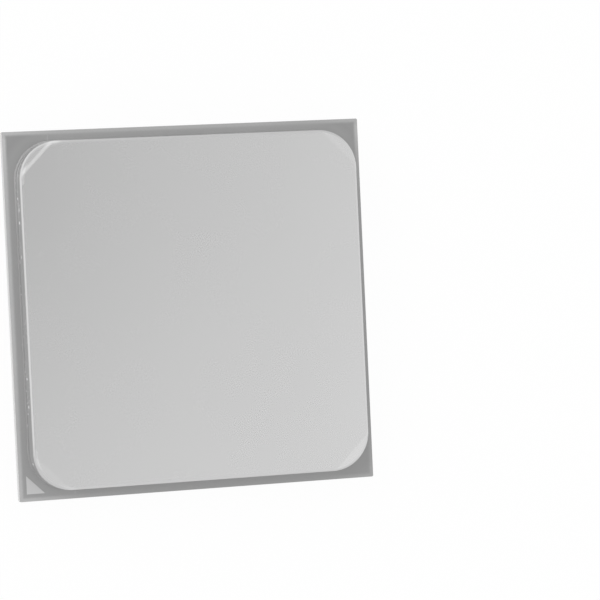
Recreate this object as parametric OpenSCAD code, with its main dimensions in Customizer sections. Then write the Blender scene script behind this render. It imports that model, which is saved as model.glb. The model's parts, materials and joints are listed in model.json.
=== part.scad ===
// Lidded pin grid array processor, lying on its pins with the lid up.
// Origin: middle of the pin field, on the plane of the pin tips. All sizes in millimetres.

/* [Pins] */
// Distance between neighbouring pins
pin_pitch = 1.27; // [1.2:0.01:1.4]
// Diameter of a pin
pin_d = 0.305; // [0.26:0.005:0.4]
// Length of a pin below the board
pin_len = 2; // [1.6:0.05:3]
// Diameter of the crowned end of a pin
tip_d = 0.18; // [0.1:0.01:0.24]
// Height of the crown on the end
tip_crown = 0.03; // [0.01:0.005:0.04]
// Length of the taper at the end of a pin, with the crown
tip_len = 0.12; // [0.05:0.01:0.3]
// From the outermost pins' axes to the edge of the board
pin_edge = 0.95; // [0.8:0.05:2]
// Pins left out along each edge at a corner of the field
corner_gap = 2; // [0:1:4]

/* [Keys] */
// Pins left out in each key, one behind the other
key_len = 2; // [1:1:3]
// Column of the front keys, counted in from either side
front_key_column = 8; // [4:1:12]
// First row of the front keys
front_key_row = 13; // [4:1:18]
// Column of the rear keys, counted in from either side
rear_key_column = 7; // [4:1:12]
// First row of the rear keys
rear_key_row = 23; // [20:1:26]

/* [Solder fillets] */
// Diameter of the solder on the board
solder_d = 0.88; // [0.6:0.02:1.1]
// Height of the solder dome
solder_h = 0.21; // [0.15:0.01:0.42]

/* [Board] */
// Thickness of the laminate
board_t = 1.14; // [0.8:0.02:1.6]
// Thickness of the coating on each face
coat_t = 0.03; // [0.02:0.005:0.05]
// Width of the bare border round the coating
bare_border = 0.45; // [0.2:0.05:0.7]
// Chamfer across the corners of the board
board_chamfer = 0.1; // [0.05:0.05:0.6]

/* [Lid] */
// From the edge of the board to the side of the lid
lid_setback = 1.2; // [1:0.05:2]
// Thickness of the lid above its hollow
lid_plate = 2; // [1.2:0.05:2.6]
// Radius of the lid's corners, seen from above
lid_corner_r = 4.15; // [3:0.05:6]
// Radius of the rounded top edge
lid_edge_r = 0.25; // [0.15:0.01:0.6]
// Radius left on the bottom edge
lid_foot_r = 0.08; // [0.05:0.01:0.1]
// Width of the foot round the hollow
lid_foot = 3.6; // [2.6:0.1:4.6]
// Corner radius of the hollow
hollow_r = 2.4; // [1:0.1:4]
// Length that a corner facet takes from each side of the lid
facet_len = 4.05; // [3.4:0.05:4.6]
// Slope of the corner facets in degrees
facet_slope = 12.5; // [6:0.5:20]

/* [Lid adhesive] */
// Thickness of the bead
bead_t = 0.12; // [0.06:0.01:0.25]
// Width of the bead
bead_w = 2; // [1.2:0.1:2.4]
// From the side of the lid to the bead
bead_setback = 0.12; // [0.1:0.01:1]
// Width of the vent left open in the bead
vent_w = 4; // [2:0.5:8]

/* [Die] */
// Length of the die along the board's side
die_l = 17; // [14:0.5:20]
// Width of the die
die_w = 12; // [9:0.5:15]
// Thickness of the die
die_t = 0.8; // [0.6:0.05:1]
// Thickness of the underfill below the die
underfill_t = 0.08; // [0.05:0.01:0.15]
// Reach of the underfill past the die
skirt_w = 0.9; // [0.5:0.05:1.5]
// Height of the underfill against the sides of the die
skirt_h = 0.5; // [0.2:0.05:0.55]
// Thickness of the thermal interface on the die
interface_t = 0.12; // [0.06:0.01:0.2]
// From the edge of the die to the edge of the thermal interface
interface_inset = 0.2; // [0.1:0.05:0.6]

/* [Capacitors] */
// Length of a capacitor
cap_l = 1.6; // [1.2:0.05:2]
// Width of a capacitor
cap_w = 0.8; // [0.5:0.05:1]
// Height of a capacitor over its ends
cap_h = 0.6; // [0.4:0.05:0.65]
// Length of each metal end
cap_end = 0.35; // [0.2:0.05:0.5]
// Step from a metal end down to the ceramic
cap_step = 0.03; // [0.01:0.01:0.06]
// Capacitors in each row
caps_in_row = 8; // [2:1:9]
// Space between neighbouring capacitors
cap_space = 1.1; // [0.5:0.1:1.4]
// From the underfill to the rows of capacitors
cap_gap = 1; // [0.6:0.1:2]

/* [Pin one mark] */
// Length of the triangle's two straight sides
mark_leg = 2; // [1:0.1:2.2]
// From the edges of the board to the triangle
mark_inset = 0.8; // [0.6:0.05:1]
// Thickness of the plated triangle
mark_t = 0.03; // [0.02:0.005:0.06]

/* [Hidden] */
$fn = 48;
row_letters = ["a", "b", "c", "d", "e", "f", "g", "h", "j", "k", "l", "m", "n", "p", "r", "t",
    "u", "v", "w", "y", "aa", "ab", "ac", "ad", "ae", "af", "ag", "ah", "aj", "ak", "al"];
pins_per_side = len(row_letters);
last_pin = pins_per_side - 1;
field_w = last_pin * pin_pitch;
board_w = field_w + 2 * pin_edge;
coated_w = board_w - 2 * bare_border;
lid_w = board_w - 2 * lid_setback;
hollow_w = lid_w - 2 * lid_foot;

// Levels above the pin tips
laminate_z = pin_len + coat_t;
board_top_z = laminate_z + board_t + coat_t;
lid_z = board_top_z + bead_t;
die_z = board_top_z + underfill_t;
interface_z = die_z + die_t;
hollow_top_z = interface_z + interface_t;
lid_top_z = hollow_top_z + lid_plate;

// Radius of the ball that has a cap of this width and height
function ball_r(d, h) = (pow(d / 2, 2) + pow(h, 2)) / (2 * h);

tip_ball_r = ball_r(tip_d, tip_crown);
solder_ball_r = ball_r(solder_d, solder_h);
// Height of the underfill's outer rim, so that it ends in a face and not in a feather
skirt_rim = 0.05;
// Overshoot of a cut past the face that it opens
past = 1;

// The solder goes by banks of rows, each named after its first and last row
bank_rows = 4;
bank_starts = [0:bank_rows:last_pin];

function bank_end(first) = min(first + bank_rows, pins_per_side) - 1;
function bank_name(first) = str("solder_rows_", row_letters[first], "_to_", row_letters[bank_end(first)]);
function row_name(row) = str("pin_row_", row_letters[row]);

// Steps from the nearer side of the field, 0 at its outermost pins
function from_side(i) = min(i, last_pin - i);

function in_key(column, row, key_column, key_row) =
    from_side(column) == key_column - 1 && row >= key_row - 1 && row < key_row - 1 + key_len;

function has_pin(column, row) =
    from_side(column) + from_side(row) >= corner_gap
    && !in_key(column, row, front_key_column, front_key_row)
    && !in_key(column, row, rear_key_column, rear_key_row);

// A square with round corners, centred
module round_square(w, r) {
    square([w, w - 2 * r], center = true);
    square([w - 2 * r, w], center = true);
    for (x = [-1, 1], y = [-1, 1])
        translate([x, y] * (w / 2 - r)) circle(r);
}

// What a round of radius r takes off the edge at the corner point [x, z]
module edge_waste(x, z, r, up) {
    difference() {
        translate([x - r, up > 0 ? z - r : z - past]) square([r + past, r + past]);
        translate([x - r, z - up * r]) circle(r);
    }
}

// Takes the edge off a round cornered slab all the way round: along the sides, then round the corners
module edge_cut(w, corner_r, z, edge_r, up) {
    straight = w - 2 * corner_r;
    for (turn = [0:90:270]) rotate(turn) {
        rotate([90, 0, 0]) linear_extrude(straight, center = true) edge_waste(w / 2, z, edge_r, up);
        translate([straight / 2, straight / 2, 0])
            rotate_extrude(angle = 90) edge_waste(corner_r, z, edge_r, up);
    }
}

// The slanted half space that leaves a crescent on one corner of the lid
module facet_cut() {
    middle = lid_w / 2 - facet_len / 2;
    translate([middle, middle, lid_top_z]) rotate(45) rotate([0, facet_slope, 0])
        translate([0, -facet_len, 0]) cube([2 * facet_len, 2 * facet_len, facet_len]);
}

// Laminate with a coated field on both faces, set in from the edges
module board() {
    color("dimgray") {
        translate([0, 0, laminate_z]) linear_extrude(board_t) intersection() {
            square(board_w, center = true);
            rotate(45) square(sqrt(2) * (board_w - board_chamfer), center = true);
        }
        translate([0, 0, pin_len]) linear_extrude(board_t + 2 * coat_t) square(coated_w, center = true);
    }
}

// Stamped lid: a hollow for the die, a flat foot round it, rounded edges and a facet on each corner
module lid() {
    color("silver") difference() {
        translate([0, 0, lid_z]) linear_extrude(lid_top_z - lid_z) round_square(lid_w, lid_corner_r);
        translate([0, 0, lid_z - past]) linear_extrude(hollow_top_z - lid_z + past)
            round_square(hollow_w, hollow_r);
        edge_cut(lid_w, lid_corner_r, lid_top_z, lid_edge_r, 1);
        edge_cut(lid_w, lid_corner_r, lid_z, lid_foot_r, -1);
        for (turn = [0:90:270]) rotate(turn) facet_cut();
    }
}

// Bead under the lid's foot, left open at the rear for the air
module lid_adhesive() {
    outer_w = lid_w - 2 * bead_setback;
    outer_r = lid_corner_r - bead_setback;
    color("darkslategray") translate([0, 0, board_top_z]) linear_extrude(bead_t) difference() {
        round_square(outer_w, outer_r);
        round_square(outer_w - 2 * bead_w, outer_r - bead_w / 2);
        translate([-vent_w / 2, 0]) square([vent_w, outer_w]);
    }
}

module silicon_die() {
    color("slategray") translate([-die_l / 2, -die_w / 2, die_z]) cube([die_l, die_w, die_t]);
}

// Section of the underfill's skirt, standing out from the side of the die
module skirt_section() {
    polygon([[0, 0], [skirt_w, 0], [skirt_w, skirt_rim], [0, underfill_t + skirt_h]]);
}

// One side of the skirt and the corner that follows it
module skirt_side(along, across) {
    translate([across / 2, 0, 0]) rotate([90, 0, 0]) linear_extrude(along, center = true) skirt_section();
    translate([across / 2, along / 2, 0]) rotate_extrude(angle = 90) skirt_section();
}

// Layer under the die and its sloping skirt
module underfill() {
    color("saddlebrown") translate([0, 0, board_top_z]) {
        translate([-die_l / 2, -die_w / 2, 0]) cube([die_l, die_w, underfill_t]);
        for (turn = [0, 180]) rotate(turn) {
            skirt_side(die_w, die_l);
            rotate(90) skirt_side(die_l, die_w);
        }
    }
}

module thermal_interface() {
    size = [die_l - 2 * interface_inset, die_w - 2 * interface_inset, interface_t];
    color("lightgray") translate([-size.x / 2, -size.y / 2, interface_z]) cube(size);
}

// Ceramic block between two metal ends, lying along Y
module capacitor() {
    translate([cap_step, 0, cap_step]) cube([cap_w - 2 * cap_step, cap_l, cap_h - 2 * cap_step]);
    for (y = [0, cap_l - cap_end]) translate([0, y, 0]) cube([cap_w, cap_end, cap_h]);
}

// A row in front of the die and a row behind it
module decoupling_capacitors() {
    step = cap_w + cap_space;
    row_l = caps_in_row * step - cap_space;
    row_y = die_w / 2 + skirt_w + cap_gap;
    color("tan") for (turn = [0, 180], i = [0:caps_in_row - 1])
        rotate(turn) translate([i * step - row_l / 2, row_y, board_top_z]) capacitor();
}

// Plated triangle with its right angle towards the front left corner
module pin_one_mark() {
    color("gainsboro") translate([mark_inset - board_w / 2, mark_inset - board_w / 2, board_top_z])
        linear_extrude(mark_t) polygon([[0, 0], [mark_leg, 0], [0, mark_leg]]);
}

// Round pin with a tapered and crowned end, from its tip up to the board
module pin() {
    rotate_extrude() {
        polygon([[0, tip_crown], [tip_d / 2, tip_crown],
            [pin_d / 2, tip_len], [pin_d / 2, pin_len], [0, pin_len]]);
        intersection() {
            square([tip_d / 2, tip_crown]);
            translate([0, tip_ball_r]) circle(tip_ball_r);
        }
    }
}

// Dome of solder round the foot of a pin
module solder_fillet() {
    translate([0, 0, pin_len]) rotate_extrude() intersection() {
        translate([pin_d / 2, -solder_h]) square([(solder_d - pin_d) / 2, solder_h]);
        translate([0, solder_ball_r - solder_h]) circle(solder_ball_r);
    }
}

// Places its children at every pin of one row
module along_row(row) {
    for (column = [0:last_pin]) if (has_pin(column, row))
        translate([column * pin_pitch - field_w / 2, row * pin_pitch - field_w / 2, 0]) children();
}

module pin_row(row) {
    color("lightgray") along_row(row) pin();
}

module solder_bank(first) {
    color("silver") for (row = [first:bank_end(first)]) along_row(row) solder_fillet();
}

board();
lid();
lid_adhesive();
silicon_die();
underfill();
thermal_interface();
decoupling_capacitors();
pin_one_mark();
for (first = bank_starts)
    solder_bank(first);
for (row = [0:last_pin])
    pin_row(row);
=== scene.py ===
import json
import math
import bpy
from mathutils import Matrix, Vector


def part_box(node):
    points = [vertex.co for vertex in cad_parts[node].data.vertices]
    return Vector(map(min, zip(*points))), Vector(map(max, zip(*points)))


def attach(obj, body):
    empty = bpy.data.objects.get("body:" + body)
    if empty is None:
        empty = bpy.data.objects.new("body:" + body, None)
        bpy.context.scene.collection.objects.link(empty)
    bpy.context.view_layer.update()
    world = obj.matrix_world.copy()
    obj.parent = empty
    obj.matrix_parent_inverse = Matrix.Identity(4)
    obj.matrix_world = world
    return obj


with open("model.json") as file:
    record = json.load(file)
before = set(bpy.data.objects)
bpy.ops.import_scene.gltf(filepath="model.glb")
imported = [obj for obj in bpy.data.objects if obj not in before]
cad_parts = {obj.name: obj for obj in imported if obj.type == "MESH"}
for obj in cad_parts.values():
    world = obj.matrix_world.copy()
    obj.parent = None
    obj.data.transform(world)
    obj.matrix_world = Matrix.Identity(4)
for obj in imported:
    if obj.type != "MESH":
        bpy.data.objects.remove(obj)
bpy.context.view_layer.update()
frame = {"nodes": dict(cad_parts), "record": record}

mm = 0.001
scene = bpy.context.scene
scene.view_settings.view_transform = "Standard"
print("frame loaded:", len(frame["nodes"]), "pieces")

boardLow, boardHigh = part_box("board")
lidLow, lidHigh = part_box("lid")
boardHalf = boardHigh.x
lidHalf = lidHigh.x


# Small helpers for building node trees
def grey(level):
    return (level, level, level, 1.0)


def feed(tree, socket, value):
    if isinstance(value, bpy.types.NodeSocket):
        tree.links.new(value, socket)
    else:
        socket.default_value = value


def addNode(tree, kind, inputs=None, **settings):
    made = tree.nodes.new(kind)
    for name, value in settings.items():
        setattr(made, name, value)
    for name, value in (inputs or {}).items():
        feed(tree, made.inputs[name], value)
    return made


def calc(tree, operation, *values, clamp=False):
    made = addNode(tree, "ShaderNodeMath", operation=operation, use_clamp=clamp)
    for socket, value in zip(made.inputs, values):
        feed(tree, socket, value)
    return made.outputs[0]


def times(tree, first, second):
    return calc(tree, "MULTIPLY", first, second)


def ramp(tree, value, low, high, toLow=0.0, toHigh=1.0):
    made = addNode(tree, "ShaderNodeMapRange", interpolation_type="SMOOTHSTEP")
    for socket, item in zip(made.inputs, (value, low, high, toLow, toHigh)):
        feed(tree, socket, item)
    return made.outputs[0]


# Ramp between two places that are given as shares of a half size
def shareRamp(tree, value, half, shares, toLow=0.0, toHigh=1.0):
    return ramp(tree, value, shares[0] * half, shares[1] * half, toLow, toHigh)


def blend(tree, factor, first, second, mode="MIX"):
    made = addNode(tree, "ShaderNodeMix", data_type="RGBA", blend_type=mode)
    for index, value in ((0, factor), (6, first), (7, second)):  # the factor and the two colour sockets
        feed(tree, made.inputs[index], value)
    return made.outputs[2]


def tint(tree, color, tone):
    return blend(tree, 1.0, color, tone, "MULTIPLY")


def noise(tree, vector, scale, detail=3.0, roughness=0.55):
    made = addNode(tree, "ShaderNodeTexNoise", {
        "Vector": vector, "Scale": scale, "Detail": detail, "Roughness": roughness})
    return made.outputs["Fac"]


def evenNoise(tree, vector, scale, detail=3.0, roughness=0.55):  # as far below zero as above it
    return calc(tree, "SUBTRACT", noise(tree, vector, scale, detail, roughness), 0.5)


def objectPoint(tree):
    return addNode(tree, "ShaderNodeTexCoord").outputs["Object"]


def split(tree, vector):
    return addNode(tree, "ShaderNodeSeparateXYZ", {"Vector": vector}).outputs


def join(tree, x=0.0, y=0.0, z=0.0):
    return addNode(tree, "ShaderNodeCombineXYZ", {"X": x, "Y": y, "Z": z}).outputs[0]


def startGroup(name, inputs, outputs):
    tree = bpy.data.node_groups.new(name, "ShaderNodeTree")
    for label, value in inputs.items():
        socket = tree.interface.new_socket(label, in_out="INPUT", socket_type="NodeSocketFloat")
        socket.default_value = value
    for label in outputs:
        tree.interface.new_socket(label, in_out="OUTPUT", socket_type="NodeSocketFloat")
    given = tree.nodes.new("NodeGroupInput").outputs
    result = tree.nodes.new("NodeGroupOutput").inputs
    return tree, given, result


def useGroup(tree, group, **values):
    made = tree.nodes.new("ShaderNodeGroup")
    made.node_tree = group
    for label, value in values.items():
        spaced = "".join(" " + c if c.isupper() else c for c in label).strip().title()
        feed(tree, made.inputs[spaced], value)
    return made.outputs


# Mask that rises towards the rim of a square with round corners, centred on the part
rimSetup = {
    "inputs": {"Half Size": 20.0 * mm, "Corner": 0.0, "Band": 0.5 * mm, "Soft": 0.1 * mm, "Ragged": 0.0},
    "wanderScale": 2500.0,
}


def makeRimGroup():
    tree, given, result = startGroup("squareRim", rimSetup["inputs"], ["Mask"])
    point = objectPoint(tree)
    axes = split(tree, point)
    straight = calc(tree, "SUBTRACT", given["Half Size"], given["Corner"])
    past = [calc(tree, "SUBTRACT", calc(tree, "ABSOLUTE", axes[i]), straight) for i in (0, 1)]
    outside = [calc(tree, "MAXIMUM", p, 0.0) for p in past]
    squares = [calc(tree, "POWER", p, 2.0) for p in outside]
    length = calc(tree, "SQRT", calc(tree, "ADD", *squares))
    inside = calc(tree, "MINIMUM", calc(tree, "MAXIMUM", *past), 0.0)
    distance = calc(tree, "SUBTRACT", calc(tree, "ADD", length, inside), given["Corner"])
    wander = evenNoise(tree, point, rimSetup["wanderScale"])
    distance = calc(tree, "MULTIPLY_ADD", wander, given["Ragged"], distance)
    start = times(tree, given["Band"], -1.0)
    low = calc(tree, "SUBTRACT", start, given["Soft"])
    high = calc(tree, "ADD", start, given["Soft"])
    feed(tree, result["Mask"], ramp(tree, distance, low, high))
    return tree


# Fine tooth of a plated or coated face, with a slow drift in tone over it
grainSetup = {
    "inputs": {"Grain Scale": 12000.0, "Cloud Scale": 160.0},
    "fineDetail": 4.0, "fineRoughness": 0.6, "fineShare": 0.35,
    "cloudDetail": 3.0, "cloudRoughness": 0.5, "cloudShare": 0.65,
    "toneRange": (0.3, 0.7), "wideToneRange": (0.2, 0.8),
}


def makeGrainGroup():
    tree, given, result = startGroup("fineGrain", grainSetup["inputs"], ["Height", "Tone"])
    point = objectPoint(tree)
    fine = noise(tree, point, given["Grain Scale"], grainSetup["fineDetail"], grainSetup["fineRoughness"])
    cloud = noise(tree, point, given["Cloud Scale"], grainSetup["cloudDetail"], grainSetup["cloudRoughness"])
    tone = [times(tree, fine, grainSetup["fineShare"]), times(tree, cloud, grainSetup["cloudShare"])]
    feed(tree, result["Height"], fine)
    feed(tree, result["Tone"], calc(tree, "ADD", *tone))
    return tree


# Hairline handling marks in two directions, each with its turn and how far it is drawn out
hairlineSetup = {
    "inputs": {"Scale": 900.0, "Amount": 0.5}, "directions": [(0.5, 0.03), (-0.9, 0.045)],
    "detail": 2.0, "roughness": 0.4, "lineRange": (0.66, 0.74),
    "breakScale": 260.0, "breakDetail": 2.0, "breakRange": (0.5, 0.68),
}


def makeHairlineGroup():
    tree, given, result = startGroup("hairlines", hairlineSetup["inputs"], ["Mask"])
    point = objectPoint(tree)
    marks = []
    for turn, stretch in hairlineSetup["directions"]:
        turned = addNode(tree, "ShaderNodeMapping", {
            "Vector": point, "Rotation": (0.0, 0.0, turn), "Scale": (stretch, 1.0, 1.0)}).outputs[0]
        lines = noise(tree, turned, given["Scale"], hairlineSetup["detail"], hairlineSetup["roughness"])
        marks.append(ramp(tree, lines, *hairlineSetup["lineRange"]))
    both = calc(tree, "MAXIMUM", *marks)
    gaps = noise(tree, point, hairlineSetup["breakScale"], hairlineSetup["breakDetail"])
    broken = ramp(tree, gaps, *hairlineSetup["breakRange"])
    feed(tree, result["Mask"], times(tree, times(tree, both, broken), given["Amount"]))
    return tree


# Sparse specks of dust
dustSetup = {"inputs": {"Scale": 500.0, "Share": 0.08, "Size": 0.12}, "core": 0.5}


def makeDustGroup():
    tree, given, result = startGroup("dustSpecks", dustSetup["inputs"], ["Mask"])
    point = objectPoint(tree)
    cells = addNode(tree, "ShaderNodeTexVoronoi", {"Vector": point, "Scale": given["Scale"]})
    pick = addNode(tree, "ShaderNodeSeparateColor", {"Color": cells.outputs["Color"]}).outputs[0]
    chosen = calc(tree, "LESS_THAN", pick, given["Share"])
    core = times(tree, given["Size"], dustSetup["core"])
    spot = calc(tree, "SUBTRACT", 1.0, ramp(tree, cells.outputs["Distance"], core, given["Size"]))
    feed(tree, result["Mask"], times(tree, chosen, spot))
    return tree


# One random tone for each place of the pin grid
def makePlaceGroup():
    tree, given, result = startGroup("toneByPlace", {"Pitch": 1.27 * mm}, ["Tone"])
    axes = split(tree, objectPoint(tree))
    places = [calc(tree, "ROUND", calc(tree, "DIVIDE", axes[i], given["Pitch"])) for i in (0, 1)]
    random = addNode(tree, "ShaderNodeTexWhiteNoise", {"Vector": join(tree, *places)}, noise_dimensions="2D")
    feed(tree, result["Tone"], random.outputs["Value"])
    return tree


rimGroup = makeRimGroup()
grainGroup = makeGrainGroup()
hairlineGroup = makeHairlineGroup()
dustGroup = makeDustGroup()
placeGroup = makePlaceGroup()
print("shader groups built:", len(bpy.data.node_groups))


def startMaterial(name):
    material = bpy.data.materials.new(name)
    material.use_nodes = True
    tree = material.node_tree
    return material, tree, tree.nodes["Principled BSDF"]


def bump(tree, height, depth, after=None):
    made = addNode(tree, "ShaderNodeBump", {"Height": height, "Distance": depth, "Strength": 1.0})
    if after is not None:
        feed(tree, made.inputs["Normal"], after)
    return made.outputs[0]


# Grain and dust with the values of one finish
def useGrain(tree, finish):
    return useGroup(tree, grainGroup, grainScale=finish["grainScale"], cloudScale=finish["cloudScale"])


def useDust(tree, finish):
    return useGroup(tree, dustGroup, scale=finish["dustScale"], share=finish["dustShare"],
                    size=finish["dustSize"])["Mask"]


def coverWithDust(tree, color, dust, finish):
    return blend(tree, times(tree, dust, finish["dustCover"]), color, grey(finish["dustTone"]))


# Plated lid: satin on top, a pressed crease at the corner facets, and sheared sides that have seams, scuffs
# and nicks.
# Painted light: lighter towards the front and the right, highlights along the creases, at the facet ends and
# along the left edge, and lighter at the foot of the sides. Painted shade: darker at the rear, on the front
# facets and on parts of the edge. Pairs of places are shares of the lid's half size, and the rear left corner
# has the strongest seams and painted highlights
lidFinish = {
    "plating": 0.672, "shade": 0.657, "rearShadeTone": 0.992, "frontLightTone": 1.022, "rearToFront": (1.0, -1.0),
    "rightLightTone": 1.015, "rightPart": (0.5, 1.0), "roughness": 0.27, "roughSpread": 0.015,
    "grainScale": 14000.0, "cloudScale": 120.0, "grainDepth": 0.0008 * mm,
    "lineScale": 1600.0, "lineAmount": 0.3, "lineGloss": 0.02,
    "dustScale": 420.0, "dustShare": 0.03, "dustSize": 0.06, "dustTone": 0.8, "dustCover": 0.15,
    "dustRoughness": 0.1, "rearLeftCorner": (1.4, 1.8), "frontToRear": (-0.5, 0.5), "rightToLeft": (0.5, -0.5),
    # rounded edge
    "cornerRadius": 4.15 * mm, "rimWidth": 0.25 * mm, "rimFade": 0.16 * mm, "rimRoughness": 0.14,
    "ragged": 0.12 * mm, "lipWidth": 0.1 * mm, "lipFade": 0.1 * mm, "lipFall": 0.035 * mm,
    "edgeShadeBand": 0.2 * mm, "edgeShadeFade": 0.09 * mm, "rearEdgeShade": 0.14, "rearPart": (0.9, 0.985),
    "rearLeftShare": 0.3, "rearLeftPart": (-0.85, -0.6), "frontEdgeShade": 0.1, "frontPart": (-0.9, -0.985),
    "cornerEdgeShade": 0.1, "frontLeftPart": (1.68, 1.78),
    # corner facets
    "facetLength": 4.05 * mm, "creaseStart": 0.06 * mm, "creaseEnd": 0.68 * mm, "creaseDepth": 0.031 * mm,
    "creaseUneven": 0.12 * mm, "creaseScale": 1300.0, "creaseHighlight": 0.675, "creaseHighlightBand": 0.75 * mm,
    "frontFacetShade": 0.98, "runOut": 0.95 * mm, "runOutFull": 0.2, "runOutBand": 0.36 * mm,
    "runOutFade": 0.26 * mm, "runOutRight": 0.2, "runOutHighlight": 0.73, "rearLeftRunOutHighlight": 0.82,
    "flareHighlight": 0.79, "frontFlareHighlight": 0.74, "flareBand": 0.47 * mm, "flareFade": 0.07 * mm, "flareEdge": -0.9,
    "flareStart": 0.95 * mm, "flareFull": 0.7, "flareEnd": 0.85 * mm, "flareEndFade": 0.1,
    # sides
    "side": 0.42, "sideRoughness": 0.75, "sideRange": (0.35, 0.05), "foot": 1.1, "footStart": 1.6 * mm,
    "footEnd": 1.0 * mm, "seams": (0.12 * mm, 1.2 * mm), "seamWidth": 0.13 * mm, "seamDepth": 0.03 * mm,
    "seamTone": 0.95, "breakScale": 420.0, "breakRange": (0.38, 0.6), "breakLow": 0.4, "seamElsewhere": 0.15,
    "stretch": 0.45, "scuffed": 0.66, "scuffScale": 2600.0, "scuffRange": (0.57, 0.66),
    "curlScale": 1100.0, "curlRange": (0.024, 0.008), "patchScale": 330.0, "patchRange": (0.48, 0.66),
    "nick": 0.88, "nickSpacing": 1.3 * mm, "nickShare": 0.55, "nickSmall": 0.06, "nickLarge": 0.3,
    "nickCore": 0.4, "torn": 0.2, "tornScale": 5000.0, "nickTop": 2.0 * mm, "nickFull": 1.4 * mm,
    "nickElsewhere": 0.3, "nickWall": (-0.9, -0.97),
}


def lidRim(tree, band, soft, ragged=0.0):
    return useGroup(tree, rimGroup, halfSize=lidHalf, corner=lidFinish["cornerRadius"],
                    band=band, soft=soft, ragged=ragged)["Mask"]


# Masks of the scuffs, the nicks and the worn seams. A seam is brightest halfway up its step
def markSides(tree, point, axes, toRearLeft, rise, side, steps):
    drawn = addNode(tree, "ShaderNodeMapping", {
        "Vector": point, "Scale": (1.0, 1.0, lidFinish["stretch"])}).outputs[0]
    curl = calc(tree, "ABSOLUTE", evenNoise(tree, drawn, lidFinish["curlScale"], detail=1.0, roughness=0.4))
    rub = noise(tree, drawn, lidFinish["scuffScale"], detail=4.0, roughness=0.6)
    scuff = calc(tree, "MAXIMUM", ramp(tree, rub, *lidFinish["scuffRange"]),
                 ramp(tree, curl, *lidFinish["curlRange"]))
    patches = noise(tree, point, lidFinish["patchScale"], detail=2.0)
    scuff = times(tree, side, times(tree, scuff, ramp(tree, patches, *lidFinish["patchRange"])))
    breaks = noise(tree, point, lidFinish["breakScale"], detail=2.0)
    broken = times(tree, ramp(tree, breaks, *lidFinish["breakRange"], lidFinish["breakLow"], 1.0), shareRamp(
        tree, toRearLeft, lidHalf, lidFinish["rearLeftCorner"], lidFinish["seamElsewhere"], 1.0))
    seams = [times(tree, step, calc(tree, "SUBTRACT", 4.0, times(tree, step, 4.0))) for step in steps]
    worn = calc(tree, "MULTIPLY", side, times(tree, calc(tree, "ADD", *seams), broken), clamp=True)
    unrolled = join(tree, toRearLeft, times(tree, rise, lidFinish["stretch"]))
    cells = addNode(tree, "ShaderNodeTexVoronoi", {
        "Vector": unrolled, "Scale": 1.0 / lidFinish["nickSpacing"]}, voronoi_dimensions="2D").outputs
    pick = addNode(tree, "ShaderNodeSeparateColor", {"Color": cells["Color"]}).outputs
    reach = ramp(tree, pick[1], 0.0, 1.0, lidFinish["nickSmall"], lidFinish["nickLarge"])
    torn = evenNoise(tree, point, lidFinish["tornScale"])
    torn = calc(tree, "MULTIPLY_ADD", torn, lidFinish["torn"], cells["Distance"])
    chosen = calc(tree, "LESS_THAN", pick[0], lidFinish["nickShare"])
    nick = times(tree, chosen, ramp(tree, torn, reach, times(tree, reach, lidFinish["nickCore"])))
    nick = times(tree, nick, ramp(tree, rise, lidFinish["nickTop"], lidFinish["nickFull"]))
    nick = times(tree, nick, shareRamp(
        tree, axes[0], lidHalf, lidFinish["nickWall"], lidFinish["nickElsewhere"], 1.0))
    return scuff, times(tree, side, nick), worn


# Tones of the facets: painted highlights along the creases, at the bright ends where they run out into the
# edge and along the left edge, and painted shade on the front facets
def toneFacets(tree, color, axes, toRearLeft, pastChord, crease, edge):
    # Painted highlight: a lighter band on each facet beside its crease
    creaseHighlightBand = times(tree, calc(tree, "SUBTRACT", 1.0, crease), ramp(
        tree, pastChord, lidFinish["creaseHighlightBand"], 0.0))
    color = blend(tree, creaseHighlightBand, color, grey(lidFinish["creaseHighlight"]))
    # Painted shade: the front facets are darker
    facetShade = shareRamp(tree, axes[1], lidHalf, lidFinish["frontToRear"], lidFinish["frontFacetShade"], 1.0)
    onFacet = ramp(tree, pastChord, 0.0, lidFinish["creaseStart"])
    color = blend(tree, onFacet, color, tint(tree, color, facetShade))
    # Painted highlight at the facet ends, brightest at the rear left corner and weaker on the right
    nearEnd = lidRim(tree, lidFinish["runOutBand"], lidFinish["runOutFade"], lidFinish["ragged"])
    runOut = times(tree, nearEnd, ramp(
        tree, calc(tree, "ABSOLUTE", pastChord),
        lidFinish["runOut"], lidFinish["runOutFull"] * lidFinish["runOut"]))
    runOut = times(tree, runOut, shareRamp(
        tree, axes[0], lidHalf, lidFinish["rightToLeft"], lidFinish["runOutRight"], 1.0))
    atFlare = calc(tree, "LESS_THAN", axes[0], lidFinish["flareEdge"] * lidHalf)
    runOut = calc(tree, "SUBTRACT", runOut, atFlare, clamp=True)
    color = blend(tree, runOut, color, shareRamp(
        tree, toRearLeft, lidHalf, lidFinish["rearLeftCorner"], lidFinish["runOutHighlight"], lidFinish["rearLeftRunOutHighlight"]))
    # Painted highlight along the left edge beside the left facets, brighter at the rear
    flareHighlight = lidRim(tree, lidFinish["flareBand"], lidFinish["flareFade"], lidFinish["ragged"])
    flareHighlight = calc(tree, "SUBTRACT", flareHighlight, edge, clamp=True)
    flareHighlight = times(tree, flareHighlight, ramp(
        tree, pastChord, lidFinish["flareStart"], lidFinish["flareFull"] * lidFinish["flareStart"]))
    flareHighlight = times(tree, flareHighlight, ramp(
        tree, pastChord, -(1.0 + lidFinish["flareEndFade"]) * lidFinish["flareEnd"],
        -(1.0 - lidFinish["flareEndFade"]) * lidFinish["flareEnd"]))
    return blend(tree, times(tree, flareHighlight, atFlare), color, shareRamp(
        tree, axes[1], lidHalf, lidFinish["frontToRear"], lidFinish["frontFlareHighlight"], lidFinish["flareHighlight"]))


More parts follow.
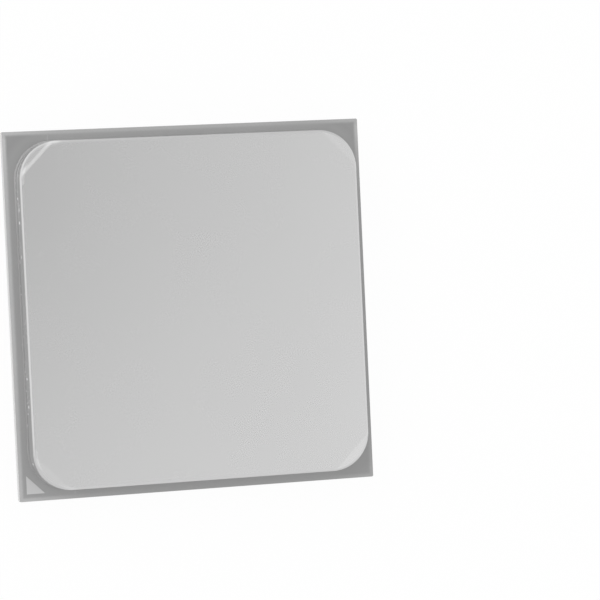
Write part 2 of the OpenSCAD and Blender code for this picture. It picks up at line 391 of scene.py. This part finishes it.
# Painted shade: the edge is darker at the rear and the front, and round the front left corner
def shadeEdge(tree, color, axes, edge):
    rear = shareRamp(tree, axes[1], lidHalf, lidFinish["rearPart"], 0.0, lidFinish["rearEdgeShade"])
    rear = times(tree, rear, shareRamp(
        tree, axes[0], lidHalf, lidFinish["rearLeftPart"], lidFinish["rearLeftShare"], 1.0))
    front = shareRamp(tree, axes[1], lidHalf, lidFinish["frontPart"], 0.0, lidFinish["frontEdgeShade"])
    toFrontLeft = times(tree, calc(tree, "ADD", axes[0], axes[1]), -1.0)
    front = calc(tree, "MAXIMUM", front, shareRamp(
        tree, toFrontLeft, lidHalf, lidFinish["frontLeftPart"], 0.0, lidFinish["cornerEdgeShade"]))
    return blend(tree, times(tree, edge, calc(tree, "ADD", rear, front)), color, grey(0.0))


def makeLidMaterial():
    material, tree, shader = startMaterial("satinPlating")
    point = objectPoint(tree)
    axes = split(tree, point)
    grain = useGrain(tree, lidFinish)
    lines = useGroup(tree, hairlineGroup, scale=lidFinish["lineScale"],
                     amount=lidFinish["lineAmount"])["Mask"]
    dust = useDust(tree, lidFinish)
    facing = split(tree, addNode(tree, "ShaderNodeNewGeometry").outputs["True Normal"])
    side = ramp(tree, calc(tree, "ABSOLUTE", facing[2]), *lidFinish["sideRange"])
    rise = calc(tree, "SUBTRACT", axes[2], lidLow.z)
    width = lidFinish["seamWidth"]
    steps = [ramp(tree, rise, seam + width, seam - width) for seam in lidFinish["seams"]]
    toRearLeft = calc(tree, "SUBTRACT", axes[1], axes[0])
    scuff, nick, worn = markSides(tree, point, axes, toRearLeft, rise, side, steps)
    diagonal = calc(tree, "ADD", calc(tree, "ABSOLUTE", axes[0]), calc(tree, "ABSOLUTE", axes[1]))
    pastChord = calc(tree, "SUBTRACT", diagonal, 2.0 * lidHalf - lidFinish["facetLength"])
    bent = evenNoise(tree, point, lidFinish["creaseScale"], detail=2.0)
    bent = calc(tree, "MULTIPLY_ADD", bent, lidFinish["creaseUneven"], pastChord)
    crease = ramp(tree, bent, lidFinish["creaseEnd"], lidFinish["creaseStart"])
    edge = lidRim(tree, lidFinish["edgeShadeBand"], lidFinish["edgeShadeFade"])
    color = blend(tree, grain["Tone"], grey(lidFinish["shade"]), grey(lidFinish["plating"]))
    # Painted light and shade: the plating is lighter towards the front and the right and darker at the rear
    color = tint(tree, color, shareRamp(
        tree, axes[1], lidHalf, lidFinish["rearToFront"], lidFinish["rearShadeTone"], lidFinish["frontLightTone"]))
    color = tint(tree, color, shareRamp(
        tree, axes[0], lidHalf, lidFinish["rightPart"], 1.0, lidFinish["rightLightTone"]))
    color = toneFacets(tree, color, axes, toRearLeft, pastChord, crease, edge)
    color = shadeEdge(tree, color, axes, edge)
    # Painted light: the sides are lighter towards their foot
    wall = ramp(tree, rise, lidFinish["footStart"], lidFinish["footEnd"],
                lidFinish["side"], lidFinish["side"] * lidFinish["foot"])
    color = blend(tree, side, color, wall)
    color = blend(tree, scuff, color, grey(lidFinish["scuffed"]))
    color = blend(tree, nick, color, grey(lidFinish["nick"]))
    color = blend(tree, worn, color, grey(lidFinish["seamTone"]))
    feed(tree, shader.inputs["Base Color"], coverWithDust(tree, color, dust, lidFinish))
    rough = ramp(tree, grain["Tone"], *grainSetup["toneRange"],
                 lidFinish["roughness"] - lidFinish["roughSpread"],
                 lidFinish["roughness"] + lidFinish["roughSpread"])
    rough = calc(tree, "SUBTRACT", rough, times(tree, lines, lidFinish["lineGloss"]))
    rim = lidRim(tree, lidFinish["rimWidth"], lidFinish["rimFade"], lidFinish["ragged"])
    rough = calc(tree, "MULTIPLY_ADD", rim, lidFinish["rimRoughness"], rough)
    rough = calc(tree, "ADD", rough, times(tree, dust, lidFinish["dustRoughness"]))
    change = calc(tree, "SUBTRACT", lidFinish["sideRoughness"], rough)
    feed(tree, shader.inputs["Roughness"], calc(tree, "MULTIPLY_ADD", side, change, rough))
    shader.inputs["Metallic"].default_value = 1.0
    lip = lidRim(tree, lidFinish["lipWidth"], lidFinish["lipFade"])
    lip = times(tree, lip, calc(tree, "SUBTRACT", 1.0, crease))
    normal = bump(tree, grain["Height"], lidFinish["grainDepth"])
    normal = bump(tree, crease, lidFinish["creaseDepth"], normal)
    normal = bump(tree, calc(tree, "SUBTRACT", 1.0, lip), lidFinish["lipFall"], normal)
    normal = bump(tree, times(tree, side, calc(tree, "ADD", *steps)), lidFinish["seamDepth"], normal)
    feed(tree, shader.inputs["Normal"], normal)
    return material


# Laminate: dark coating over the field, woven glass showing pale on the bare border and at the cut sides,
# with painted light and shade on the coat, the border and the cut sides. Pairs of places are shares of the
# board's half size
boardFinish = {
    "coat": 0.335, "coatLight": 0.36, "bare": 0.52, "weave": 0.54, "cut": 0.56, "cutLight": 0.72,
    "cutFootLight": 1.06, "cutTopShade": 0.92, "roughness": 0.42, "smoother": 0.05, "rougher": 0.06,
    "borderRoughness": 0.22, "gloss": 0.32, "border": 0.4 * mm, "fade": 0.18 * mm, "ragged": 0.08 * mm,
    "sideBand": 0.004 * mm, "sideFade": 0.003 * mm, "grainScale": 9000.0, "cloudScale": 220.0,
    "grainDepth": 0.003 * mm, "weaveDepth": 0.5, "threadScale": 13000.0, "threadRange": (-0.8, 0.8),
    "mottleScale": 1900.0, "plyScale": 42000.0, "plyRange": (-0.6, 0.9), "fibreScale": 16000.0,
    "fibreStretch": 0.25, "dull": 0.75, "rearBorderShade": 0.91, "rearPart": (0.955, 0.975),
    "leftStripLight": 1.07, "stripLight": 1.12, "leftPart": (-0.95, -0.7), "stripEnds": (0.67, 0.85),
    "rearCornerShade": 0.87, "frontCornerShade": 0.955, "frontToRear": (-0.5, 0.5),
    "nearBand": 0.5 * mm, "farBand": 2.2 * mm,
    "dustScale": 700.0, "dustShare": 0.14, "dustSize": 0.1, "dustTone": 0.55, "dustCover": 0.3,
}


# Painted light and shade: the coat is lighter in the strips beside the lid and darker at the corners
def lightAndShadeCoat(tree, coat, axes):
    near, far = boardFinish["nearBand"], boardFinish["farBand"]
    away = lidRim(tree, -0.5 * (near + far), 0.5 * (far - near))
    inStrip = calc(tree, "MINIMUM", calc(tree, "ABSOLUTE", axes[0]), calc(tree, "ABSOLUTE", axes[1]))
    strip = shareRamp(tree, axes[0], boardHalf, boardFinish["leftPart"],
                      boardFinish["leftStripLight"], boardFinish["stripLight"])
    strip = shareRamp(tree, inStrip, boardHalf, boardFinish["stripEnds"], strip, 1.0)
    corners = shareRamp(tree, axes[1], boardHalf, boardFinish["frontToRear"],
                        boardFinish["frontCornerShade"], boardFinish["rearCornerShade"])
    return tint(tree, coat, times(tree, strip, ramp(tree, away, 0.0, 1.0, 1.0, corners)))


def makeBoardMaterial():
    material, tree, shader = startMaterial("coatedLaminate")
    point = objectPoint(tree)
    axes = split(tree, point)
    grain = useGrain(tree, boardFinish)
    dust = useDust(tree, boardFinish)
    border = useGroup(tree, rimGroup, halfSize=boardHalf, band=boardFinish["border"],
                      soft=boardFinish["fade"], ragged=boardFinish["ragged"])["Mask"]
    sides = useGroup(tree, rimGroup, halfSize=boardHalf, band=boardFinish["sideBand"],
                     soft=boardFinish["sideFade"])["Mask"]
    threads = [calc(tree, "SINE", times(tree, axes[i], boardFinish["threadScale"])) for i in (0, 1)]
    weave = ramp(tree, times(tree, *threads), *boardFinish["threadRange"])
    mottle = noise(tree, point, boardFinish["mottleScale"])
    plies = calc(tree, "SINE", times(tree, axes[2], boardFinish["plyScale"]))
    plies = ramp(tree, plies, *boardFinish["plyRange"])
    fibres = addNode(tree, "ShaderNodeMapping", {
        "Vector": point, "Scale": (1.0, 1.0, boardFinish["fibreStretch"])}).outputs[0]
    ends = noise(tree, fibres, boardFinish["fibreScale"], detail=2.0)
    coat = blend(tree, grain["Tone"], grey(boardFinish["coat"]), grey(boardFinish["coatLight"]))
    coat = lightAndShadeCoat(tree, coat, axes)
    bare = blend(tree, times(tree, weave, mottle), grey(boardFinish["bare"]), grey(boardFinish["weave"]))
    # Painted light and shade: the bare border is darker towards the front right and at the rear edge
    across = calc(tree, "SUBTRACT", axes[1], axes[0])
    bare = tint(tree, bare, ramp(tree, across, -boardHalf, boardHalf, boardFinish["dull"], 1.0))
    bare = tint(tree, bare, shareRamp(
        tree, axes[1], boardHalf, boardFinish["rearPart"], 1.0, boardFinish["rearBorderShade"]))
    cut = blend(tree, times(tree, plies, ends), grey(boardFinish["cut"]), grey(boardFinish["cutLight"]))
    # Painted light and shade: the cut sides are lighter at the foot and darker at the top
    cut = tint(tree, cut, ramp(
        tree, axes[2], boardLow.z, boardHigh.z, boardFinish["cutFootLight"], boardFinish["cutTopShade"]))
    color = blend(tree, border, coat, bare)
    color = blend(tree, sides, color, cut)
    feed(tree, shader.inputs["Base Color"], coverWithDust(tree, color, dust, boardFinish))
    rough = ramp(tree, grain["Tone"], *grainSetup["toneRange"],
                 boardFinish["roughness"] - boardFinish["smoother"],
                 boardFinish["roughness"] + boardFinish["rougher"])
    feed(tree, shader.inputs["Roughness"], calc(
        tree, "MULTIPLY_ADD", border, boardFinish["borderRoughness"], rough))
    shader.inputs["Specular IOR Level"].default_value = boardFinish["gloss"]
    woven = times(tree, times(tree, weave, border), boardFinish["weaveDepth"])
    height = calc(tree, "ADD", grain["Height"], woven)
    feed(tree, shader.inputs["Normal"], bump(tree, height, boardFinish["grainDepth"]))
    return material


# Pins and solder: bright metal whose tone differs from one place of the grid to the next
pinFinish = {
    "dark": 0.62, "light": 0.8, "roughness": 0.24, "roughSpread": 0.06, "placeShare": 0.6, "grainShare": 0.4,
    "grainScale": 9000.0, "cloudScale": 900.0, "grainDepth": 0.0008 * mm,
}
solderFinish = {
    "dark": 0.66, "light": 0.84, "roughness": 0.2, "roughSpread": 0.06, "placeShare": 0.6, "grainShare": 0.4,
    "grainScale": 7000.0, "cloudScale": 900.0, "grainDepth": 0.004 * mm,
}


def makePlaceMetal(name, finish):
    material, tree, shader = startMaterial(name)
    grain = useGrain(tree, finish)
    place = useGroup(tree, placeGroup)["Tone"]
    tone = calc(tree, "ADD", times(tree, place, finish["placeShare"]),
                times(tree, grain["Tone"], finish["grainShare"]))
    feed(tree, shader.inputs["Base Color"], blend(tree, tone, grey(finish["dark"]), grey(finish["light"])))
    feed(tree, shader.inputs["Roughness"], ramp(
        tree, tone, 0.0, 1.0, finish["roughness"] + finish["roughSpread"],
        finish["roughness"] - finish["roughSpread"]))
    shader.inputs["Metallic"].default_value = 1.0
    feed(tree, shader.inputs["Normal"], bump(tree, grain["Height"], finish["grainDepth"]))
    return material


# Plain finishes: two tones, their roughness and the grain's scale and depth
markFinish = {
    "dark": 0.63, "light": 0.67, "roughness": 0.34, "grainScale": 12000.0, "grainDepth": 0.0012 * mm}
sealantFinish = {
    "dark": 0.12, "light": 0.17, "roughness": 0.55, "grainScale": 5000.0, "grainDepth": 0.006 * mm}
siliconFinish = {
    "dark": 0.1, "light": 0.14, "roughness": 0.16, "grainScale": 3000.0, "grainDepth": 0.0002 * mm}
resinFinish = {
    "dark": 0.07, "light": 0.1, "roughness": 0.35, "grainScale": 2500.0, "grainDepth": 0.004 * mm}
pasteFinish = {
    "dark": 0.4, "light": 0.5, "roughness": 0.5, "grainScale": 6000.0, "grainDepth": 0.005 * mm}
plainSetup = {
    "cloudScale": 400.0, "roughSpread": 0.06,
    "dustScale": 900.0, "dustShare": 0.06, "dustSize": 0.1, "dustTone": 0.6, "dustCover": 0.2,
}


def makePlainFinish(name, finish, metallic=0.0):
    material, tree, shader = startMaterial(name)
    grain = useGroup(tree, grainGroup, grainScale=finish["grainScale"], cloudScale=plainSetup["cloudScale"])
    color = blend(tree, grain["Tone"], grey(finish["dark"]), grey(finish["light"]))
    # Painted highlight: this finish is lighter at the rear left corner
    if "rearLeftCorner" in finish:  # lighter at the rear left corner
        axes = split(tree, objectPoint(tree))
        toRearLeft = calc(tree, "SUBTRACT", axes[1], axes[0])
        color = tint(tree, color, shareRamp(
            tree, toRearLeft, lidHalf, lidFinish["rearLeftCorner"], 1.0, finish["rearLeftCorner"]))
    feed(tree, shader.inputs["Base Color"], coverWithDust(tree, color, useDust(tree, plainSetup), plainSetup))
    feed(tree, shader.inputs["Roughness"], ramp(
        tree, grain["Tone"], *grainSetup["wideToneRange"], finish["roughness"] - plainSetup["roughSpread"],
        finish["roughness"] + plainSetup["roughSpread"]))
    shader.inputs["Metallic"].default_value = metallic
    feed(tree, shader.inputs["Normal"], bump(tree, grain["Height"], finish["grainDepth"]))
    return material


# Ceramic in the middle, tinned at both ends, told apart by where the ends lie along Y
capacitorFinish = {
    "halfLength": 0.8 * mm, "tinRange": (0.44 * mm, 0.46 * mm), "dark": 0.22, "light": 0.3, "tin": 0.62,
    "smooth": 0.32, "rough": 0.5, "grainScale": 9000.0, "cloudScale": 700.0, "grainDepth": 0.003 * mm,
}


def makeCapacitorMaterial():
    material, tree, shader = startMaterial("tinnedCeramic")
    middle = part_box("decoupling_capacitors")[1].y - capacitorFinish["halfLength"]
    along = calc(tree, "ABSOLUTE", split(tree, objectPoint(tree))[1])
    fromMiddle = calc(tree, "ABSOLUTE", calc(tree, "SUBTRACT", along, middle))
    tinned = ramp(tree, fromMiddle, *capacitorFinish["tinRange"])
    grain = useGrain(tree, capacitorFinish)
    clay = blend(tree, grain["Tone"], grey(capacitorFinish["dark"]), grey(capacitorFinish["light"]))
    feed(tree, shader.inputs["Base Color"], blend(tree, tinned, clay, grey(capacitorFinish["tin"])))
    feed(tree, shader.inputs["Metallic"], tinned)
    feed(tree, shader.inputs["Roughness"], ramp(
        tree, grain["Tone"], *grainSetup["wideToneRange"],
        capacitorFinish["smooth"], capacitorFinish["rough"]))
    feed(tree, shader.inputs["Normal"], bump(tree, grain["Height"], capacitorFinish["grainDepth"]))
    return material


finishes = {
    "lid": makeLidMaterial(),
    "board": makeBoardMaterial(),
    "pin": makePlaceMetal("brightPin", pinFinish),
    "solder": makePlaceMetal("brightSolder", solderFinish),
    "mark": makePlainFinish("platedMark", markFinish, metallic=1.0),
    "adhesive": makePlainFinish("sealant", sealantFinish),
    "silicon": makePlainFinish("polishedSilicon", siliconFinish),
    "underfill": makePlainFinish("curedResin", resinFinish),
    "interface": makePlainFinish("thermalPaste", pasteFinish),
    "capacitor": makeCapacitorMaterial(),
}
for part in frame["record"]["subparts"]:
    mesh = frame["nodes"][part["node"]].data
    mesh.materials.clear()
    mesh.materials.append(finishes[part["material_slot"]])


# Geometry Nodes pieces: a tree with named inputs, run once and kept as a plain mesh
def startPieceTree(name, kinds):
    tree = bpy.data.node_groups.new(name, "GeometryNodeTree")
    for label, kind in kinds.items():
        tree.interface.new_socket(label, in_out="INPUT", socket_type="NodeSocket" + kind)
    tree.interface.new_socket("Mesh", in_out="OUTPUT", socket_type="NodeSocketGeometry")
    return tree, tree.nodes.new("NodeGroupInput").outputs


def endPieceTree(tree, geometry, finish):
    real = addNode(tree, "GeometryNodeRealizeInstances", {"Geometry": geometry})
    dressed = addNode(tree, "GeometryNodeSetMaterial", {"Geometry": real.outputs[0], "Material": finish})
    feed(tree, tree.nodes.new("NodeGroupOutput").inputs["Mesh"], dressed.outputs[0])


def runPieceTree(name, tree, points, values):
    start = bpy.data.meshes.new(name + "Start")
    start.from_pydata(points, [], [])
    carrier = bpy.data.objects.new(name + "Start", start)
    scene.collection.objects.link(carrier)
    modifier = carrier.modifiers.new(name, "NODES")
    modifier.node_group = tree
    for item in tree.interface.items_tree:
        if item.in_out == "INPUT" and item.name in values:
            modifier[item.identifier] = values[item.name]
    evaluated = carrier.evaluated_get(bpy.context.evaluated_depsgraph_get())
    mesh = bpy.data.meshes.new_from_object(evaluated)
    carrier.modifiers.remove(modifier)
    bpy.data.objects.remove(carrier)
    mesh.materials.clear()
    mesh.materials.append(values["Finish"])
    piece = bpy.data.objects.new(name, mesh)
    scene.collection.objects.link(piece)
    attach(piece, "root")
    print(name + ":", len(mesh.polygons), "faces")


def ovalProfile(tree, facets, width, height):
    ring = addNode(tree, "GeometryNodeCurvePrimitiveCircle", {"Resolution": facets, "Radius": 1.0})
    return addNode(tree, "GeometryNodeTransform", {
        "Geometry": ring.outputs["Curve"], "Scale": join(tree, width, height, 1.0)}).outputs[0]


def sweep(tree, path, profile):
    return addNode(tree, "GeometryNodeCurveToMesh", {
        "Curve": path, "Profile Curve": profile, "Fill Caps": True}).outputs[0]


# Two faint plating stubs that show through the coating, one behind the lid and one in front of it
stubSetup = {
    "width": 0.12 * mm, "length": 0.66 * mm, "height": 0.005 * mm, "facets": 12,
    "places": [(-15.02 * mm, 19.2 * mm), (-13.9 * mm, -19.2 * mm)],
    "dark": 0.39, "light": 0.43, "roughness": 0.42, "grainScale": 9000.0, "grainDepth": 0.003 * mm,
}


def makeStubs():
    tree, given = startPieceTree("platingStubs", {
        "Points": "Geometry", "Width": "Float", "Length": "Float", "Height": "Float", "Facets": "Int",
        "Finish": "Material"})
    ends = [join(tree, y=times(tree, given["Length"], share)) for share in (-0.5, 0.5)]
    spine = addNode(tree, "GeometryNodeCurvePrimitiveLine", {"Start": ends[0], "End": ends[1]}).outputs[0]
    oval = ovalProfile(tree, given["Facets"], times(tree, given["Width"], 0.5), given["Height"])
    placed = addNode(tree, "GeometryNodeInstanceOnPoints", {
        "Points": given["Points"], "Instance": sweep(tree, spine, oval)})
    endPieceTree(tree, placed.outputs[0], given["Finish"])
    points = [(x, y, boardHigh.z) for x, y in stubSetup["places"]]
    runPieceTree("platingStubs", tree, points, {
        "Width": stubSetup["width"], "Length": stubSetup["length"], "Height": stubSetup["height"],
        "Facets": stubSetup["facets"], "Finish": makePlainFinish("coatedStub", stubSetup)})


# Sealant pressed out under the lid's foot, a fine uneven bead that stops at the vent
beadSetup = {
    "reach": 0.13 * mm, "height": 0.2 * mm, "steps": 900, "facets": 10, "cornerSteps": 24,
    "uneven": 0.06 * mm, "unevenScale": 900.0, "unevenDetail": 2.0, "seed": 7.0, "vent": 4.4 * mm,
    # the sealant is painted lighter at the rear left corner, a painted highlight
    "dark": 0.305, "light": 0.36, "rearLeftCorner": 1.2, "roughness": 0.5,
    "grainScale": 5000.0, "grainDepth": 0.006 * mm,
}


def makeBead():
    tree, given = startPieceTree("pressedSealant", {
        "Points": "Geometry", "Side": "Float", "Corner": "Float", "Level": "Float", "Reach": "Float",
        "Height": "Float", "Steps": "Int", "Facets": "Int", "Corner Steps": "Int", "Uneven": "Float",
        "Uneven Scale": "Float", "Seed": "Float", "Vent": "Float", "Finish": "Material"})
    square = addNode(tree, "GeometryNodeCurvePrimitiveQuadrilateral", {
        "Width": given["Side"], "Height": given["Side"]})
    rounded = addNode(tree, "GeometryNodeFilletCurve", {
        "Curve": square.outputs[0], "Radius": given["Corner"], "Count": given["Corner Steps"]}, mode="POLY")
    path = addNode(tree, "GeometryNodeResampleCurve", {"Curve": rounded.outputs[0], "Count": given["Steps"]})
    spot = addNode(tree, "GeometryNodeInputPosition").outputs[0]
    axes = split(tree, spot)
    inVent = times(tree, calc(tree, "GREATER_THAN", axes[1], 0.0), calc(
        tree, "LESS_THAN", calc(tree, "ABSOLUTE", axes[0]), times(tree, given["Vent"], 0.5)))
    wire = addNode(tree, "GeometryNodeCurveToMesh", {"Curve": path.outputs[0]})
    cut = addNode(tree, "GeometryNodeDeleteGeometry", {
        "Geometry": wire.outputs[0], "Selection": inVent}, domain="POINT")
    opened = addNode(tree, "GeometryNodeMeshToCurve", {"Mesh": cut.outputs[0]}).outputs[0]
    bead = sweep(tree, opened, ovalProfile(tree, given["Facets"], given["Reach"], given["Height"]))
    wander = addNode(tree, "ShaderNodeTexNoise", {
        "Vector": spot, "W": given["Seed"], "Scale": given["Uneven Scale"],
        "Detail": beadSetup["unevenDetail"]}, noise_dimensions="4D").outputs["Fac"]
    swell = addNode(tree, "ShaderNodeVectorMath", operation="SCALE")
    feed(tree, swell.inputs["Vector"], addNode(tree, "GeometryNodeInputNormal").outputs[0])
    feed(tree, swell.inputs["Scale"], times(tree, calc(tree, "SUBTRACT", wander, 0.5), given["Uneven"]))
    raised = addNode(tree, "ShaderNodeVectorMath", operation="ADD")
    feed(tree, raised.inputs[0], swell.outputs["Vector"])
    feed(tree, raised.inputs[1], join(tree, z=given["Level"]))
    moved = addNode(tree, "GeometryNodeSetPosition", {"Geometry": bead, "Offset": raised.outputs["Vector"]})
    endPieceTree(tree, moved.outputs[0], given["Finish"])
    runPieceTree("pressedSealant", tree, [(0.0, 0.0, 0.0)], {
        "Side": 2.0 * lidHalf, "Corner": lidFinish["cornerRadius"], "Level": boardHigh.z,
        "Reach": beadSetup["reach"], "Height": beadSetup["height"], "Steps": beadSetup["steps"],
        "Facets": beadSetup["facets"], "Corner Steps": beadSetup["cornerSteps"],
        "Uneven": beadSetup["uneven"], "Uneven Scale": beadSetup["unevenScale"],
        "Seed": beadSetup["seed"], "Vent": beadSetup["vent"],
        "Finish": makePlainFinish("pressedSealant", beadSetup)})


makeStubs()
makeBead()


# Floor, light and camera
floorSetup = {"half": 2.0, "tone": 0.92, "glow": 0.95}


def makeFloor():
    half = floorSetup["half"]
    mesh = bpy.data.meshes.new("floor")
    corners = [(-half, -half, 0), (half, -half, 0), (half, half, 0), (-half, half, 0)]
    mesh.from_pydata(corners, [], [(0, 1, 2, 3)])
    floor = bpy.data.objects.new("floor", mesh)
    scene.collection.objects.link(floor)
    material, tree, shader = startMaterial("paleFloor")
    tree.nodes.remove(shader)
    rays = addNode(tree, "ShaderNodeLightPath").outputs
    seen = calc(tree, "MAXIMUM", rays["Is Camera Ray"], calc(
        tree, "MAXIMUM", rays["Is Glossy Ray"], rays["Is Transmission Ray"]))
    matte = addNode(tree, "ShaderNodeBsdfDiffuse", {"Color": grey(floorSetup["tone"])}).outputs[0]
    glow = addNode(tree, "ShaderNodeEmission", {"Color": grey(1.0), "Strength": 1.0}).outputs[0]
    clear = addNode(tree, "ShaderNodeBsdfTransparent").outputs[0]
    above = addNode(tree, "ShaderNodeMixShader", {"Fac": times(tree, seen, floorSetup["glow"])})
    tree.links.new(matte, above.inputs[1])
    tree.links.new(glow, above.inputs[2])
    behind = addNode(tree, "ShaderNodeNewGeometry").outputs["Backfacing"]
    whole = addNode(tree, "ShaderNodeMixShader", {"Fac": behind})  # clear when seen from below
    tree.links.new(above.outputs[0], whole.inputs[1])
    tree.links.new(clear, whole.inputs[2])
    tree.links.new(whole.outputs[0], tree.nodes["Material Output"].inputs["Surface"])
    mesh.materials.append(material)
    return floor


# Even studio surround, dimmer below the horizon. The patch overhead gives the lid its slow gradient, the next
# two calm the corner facets, and the last three brighten what the solder and pins show from below
surround = {
    "bright": 0.98, "fill": 0.9, "below": 0.6, "horizon": -0.12,
    "patches": [
        {"towards": (-0.03, 0.1, 0.99), "inner": 6.0, "outer": 17.0, "level": 0.2},
        {"towards": (-0.14, -0.45, 0.88), "inner": 8.0, "outer": 24.0, "level": 0.88},
        {"towards": (0.6, 0.32, 0.73), "inner": 12.0, "outer": 28.0, "level": 0.925},
        {"towards": (0.0, 0.82, -0.57), "inner": 14.0, "outer": 26.0, "level": 1.7},
        {"towards": (0.0, -0.82, -0.57), "inner": 14.0, "outer": 26.0, "level": 1.7},
        {"towards": (0.0, 0.0, -1.0), "inner": 14.0, "outer": 28.0, "level": 1.7},
    ],
}


def makeWorld():
    world = bpy.data.worlds.new("studio")
    scene.world = world
    world.use_nodes = True
    tree = world.node_tree
    direction = addNode(tree, "ShaderNodeTexCoord").outputs["Generated"]
    height = split(tree, direction)[2]
    room = ramp(tree, height, surround["horizon"], 0.0,
                surround["bright"] * surround["below"], surround["bright"])
    for patch in surround["patches"]:
        facing = addNode(tree, "ShaderNodeVectorMath", operation="DOT_PRODUCT")
        feed(tree, facing.inputs[0], direction)
        facing.inputs[1].default_value = Vector(patch["towards"]).normalized()
        rims = [math.cos(math.radians(patch[name])) for name in ("outer", "inner")]
        room = times(tree, room, ramp(tree, facing.outputs["Value"], *rims, 1.0, patch["level"]))
    rays = addNode(tree, "ShaderNodeLightPath").outputs
    room = blend(tree, rays["Is Diffuse Ray"], room, grey(surround["fill"]))
    seen = calc(tree, "MAXIMUM", rays["Is Camera Ray"], rays["Is Transmission Ray"])
    background = tree.nodes["Background"]
    feed(tree, background.inputs["Color"], blend(tree, seen, room, grey(1.0)))
    background.inputs["Strength"].default_value = 1.0


# Two lamps show as soft glints on the plating, the others light matte faces only
# The last one shines up through the floor
lamps = [
    {"name": "windowSoftbox", "place": (-0.8, 0.5, 0.6), "size": 0.9, "watts": 2.5, "glints": False},
    {"name": "rimSoftbox", "place": (-0.72, 0.42, 0.45), "size": 1.0, "watts": 0.65, "glints": True},
    {"name": "cornerSoftbox", "place": (0.6, -0.45, 0.75), "size": 0.8, "watts": 0.08, "glints": True},
    {"name": "underSoftbox", "place": (0.0, 0.0, -0.6), "size": 0.9, "watts": 3.6, "glints": False},
]


def makeLamp(lamp, floor):
    data = bpy.data.lights.new(lamp["name"], "AREA")
    data.size = lamp["size"]
    data.energy = lamp["watts"]
    light = bpy.data.objects.new(lamp["name"], data)
    light.location = lamp["place"]
    light.rotation_euler = (-Vector(lamp["place"])).to_track_quat("-Z", "Y").to_euler()
    light.visible_glossy = lamp["glints"]
    scene.collection.objects.link(light)
    if light.location.z < 0:  # the floor doesn't block this one
        passed = bpy.data.collections.new(lamp["name"] + "Passes")
        passed.objects.link(floor)
        passed.collection_objects[0].light_linking.link_state = "EXCLUDE"
        light.light_linking.blocker_collection = passed


# Looking down on the lid from a little to the left
cameraSetup = {
    "lens": 174.06, "sensor": 36.0, "nearest": 0.01,
    "place": (-0.07396, 0.01114, 0.31278), "turn": (-1.211, -15.669, -2.765),
}


def makeCamera():
    data = bpy.data.cameras.new("camera")
    data.lens = cameraSetup["lens"]
    data.sensor_width = cameraSetup["sensor"]
    data.clip_start = cameraSetup["nearest"]
    camera = bpy.data.objects.new("camera", data)
    camera.location = cameraSetup["place"]
    camera.rotation_euler = [math.radians(angle) for angle in cameraSetup["turn"]]
    scene.collection.objects.link(camera)
    scene.camera = camera


floor = makeFloor()
makeWorld()
for lamp in lamps:
    makeLamp(lamp, floor)
makeCamera()
print("studio ready")
